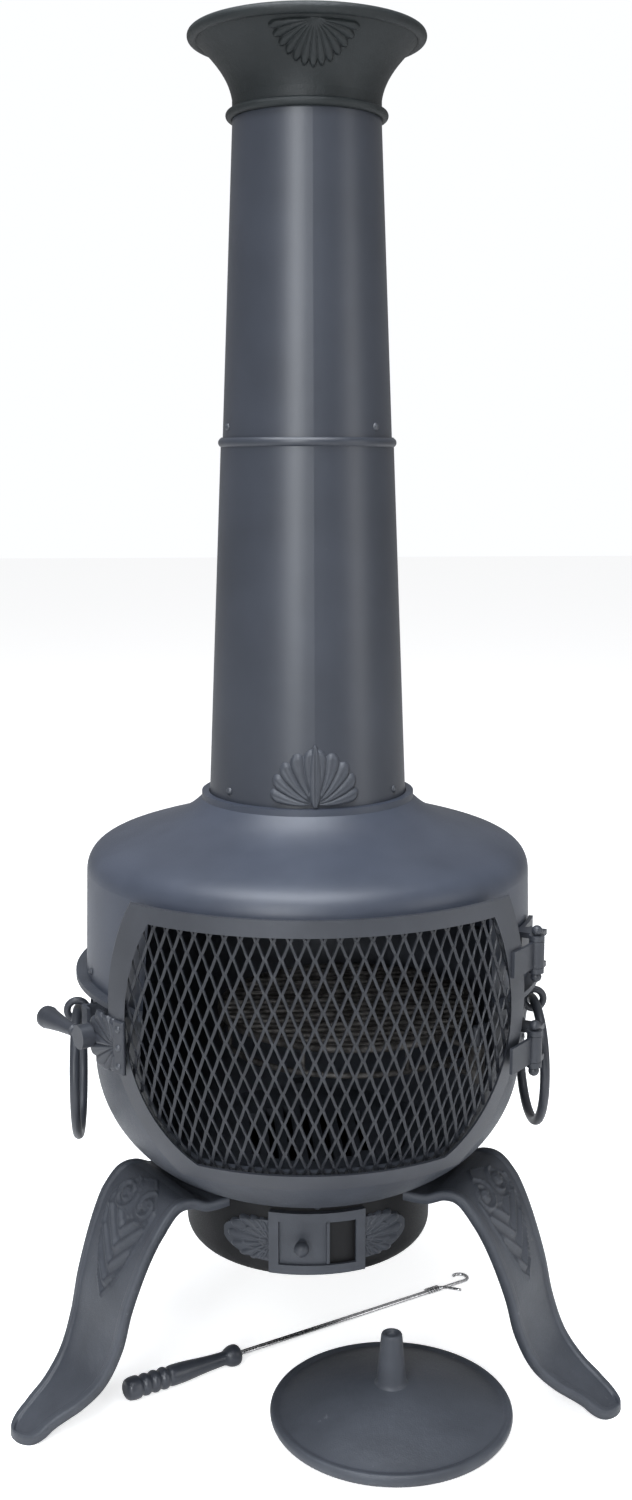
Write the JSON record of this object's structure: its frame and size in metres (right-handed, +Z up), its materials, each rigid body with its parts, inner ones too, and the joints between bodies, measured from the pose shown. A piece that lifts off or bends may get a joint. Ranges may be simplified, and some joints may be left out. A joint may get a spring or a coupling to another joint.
{
  "type": "chiminea",
  "caption": "Garden chiminea with tapered flue, flared crown, round firebox, wrap-around mesh door, ash drum with sliding vent, splayed cast legs, and its lid and poker.",
  "frame": {"origin": "point on the floor under the flue axis", "axes": "+Z up along the flue, -Y toward the door side, +X to the right seen from the door side"},
  "size_m": [0.5642, 0.585, 1.243],
  "materials": {
    "crown_black": "satin paint, greenish black",
    "flue_paint": "satin heat-proof paint",
    "hood_paint": "satin heat-proof paint",
    "cast_black": "matt paint over casting texture",
    "drum_black": "matt, sooty",
    "frame_black": "satin heat-proof paint",
    "mesh_black": "satin heat-proof paint",
    "grill_wire": "smoked steel",
    "fastener_black": "painted over",
    "poker_grip": "satin paint",
    "poker_steel": "bright plated steel, worn"
  },
  "bodies": {
    "stove": {"chimney_crown": "crown_black", "crown_shell": "crown_black", "upper_flue": "flue_paint", "lower_flue": "flue_paint", "flue_badge": "cast_black", "flue_joint_screws": "fastener_black", "flue_base_screws": "fastener_black", "hood": "hood_paint", "bowl": "cast_black", "fire_grate": "cast_black", "hood_screws": "fastener_black", "flange_bolts": "fastener_black", "ash_drum": "drum_black", "drum_bolts": "fastener_black", "vent_frame": "cast_black", "hinge_screws": "fastener_black", "hinge_bracket_lower": "frame_black", "hinge_bracket_upper": "frame_black", "hinge_pin_lower": "frame_black", "hinge_pin_upper": "frame_black", "latch_keeper": "cast_black", "leg_left": "cast_black", "leg_right": "cast_black", "leg_rear": "cast_black", "leg_bolts": "fastener_black", "leg_nuts": "fastener_black", "grill_post": "frame_black", "ring_eye_left": "frame_black", "ring_eye_right": "frame_black"},
    "door": {"door_bar_top": "frame_black", "door_bar_bottom": "frame_black", "door_bar_left": "frame_black", "door_bar_right": "frame_black", "door_mesh": "mesh_black", "door_knuckle_lower": "frame_black", "door_knuckle_upper": "frame_black", "latch_plate": "frame_black", "latch_rivets": "fastener_black"},
    "latch": {"latch_lever": "frame_black", "latch_grip": "frame_black"},
    "air_slide": {"vent_slide": "cast_black", "vent_knob": "cast_black"},
    "left_ring": {"ring_left": "frame_black"},
    "right_ring": {"ring_right": "frame_black"},
    "grill": {"grill_hoops": "grill_wire", "grill_wires": "grill_wire", "grill_sleeve": "grill_wire"},
    "lid": {"lid_disc": "cast_black", "lid_stem": "cast_black"},
    "poker": {"poker_handle": "poker_grip", "poker_rod": "poker_steel", "poker_collar": "poker_steel"}
  },
  "joints": [
    {"name": "door_swing", "type": "hinge", "parent": "stove", "child": "door", "pos_m": [0.19709, -0.12799, 0.39], "axis": [0, 0, 1], "range_deg": [0, 110]},
    {"name": "latch_turn", "type": "hinge", "parent": "door", "child": "latch", "pos_m": [-0.20092, -0.116, 0.365], "axis": [-0.866, -0.5, 0], "range_deg": [0, 35]},
    {"name": "air_slide_travel", "type": "hinge", "parent": "stove", "child": "air_slide", "pos_m": [0, 0, 0.16], "axis": [0, 0, 1], "range_deg": [0, 11]},
    {"name": "left_ring_swing", "type": "hinge", "parent": "stove", "child": "left_ring", "pos_m": [-0.223, 0, 0.34725], "axis": [0, 1, 0], "range_deg": [-5, 90]},
    {"name": "right_ring_swing", "type": "hinge", "parent": "stove", "child": "right_ring", "pos_m": [0.223, 0, 0.34725], "axis": [0, -1, 0], "range_deg": [-5, 90]},
    {"name": "grill_swing", "type": "hinge", "parent": "stove", "child": "grill", "pos_m": [0.143, -0.134, 0.335], "axis": [0, 0, 1], "range_deg": [0, 99]},
    {"name": "lid_lift", "type": "slide", "parent": "stove", "child": "lid", "axis": [0, -0.8, 0.6], "range_m": [0, 0.15]},
    {"name": "poker_draw", "type": "slide", "parent": "stove", "child": "poker", "axis": [0.8645, 0.5027, 0], "range_m": [0, 0.45]}
  ],
  "couplings": [
    {"joint": "grill_swing", "follows": "door_swing", "ratio": 0.9}
  ]
}
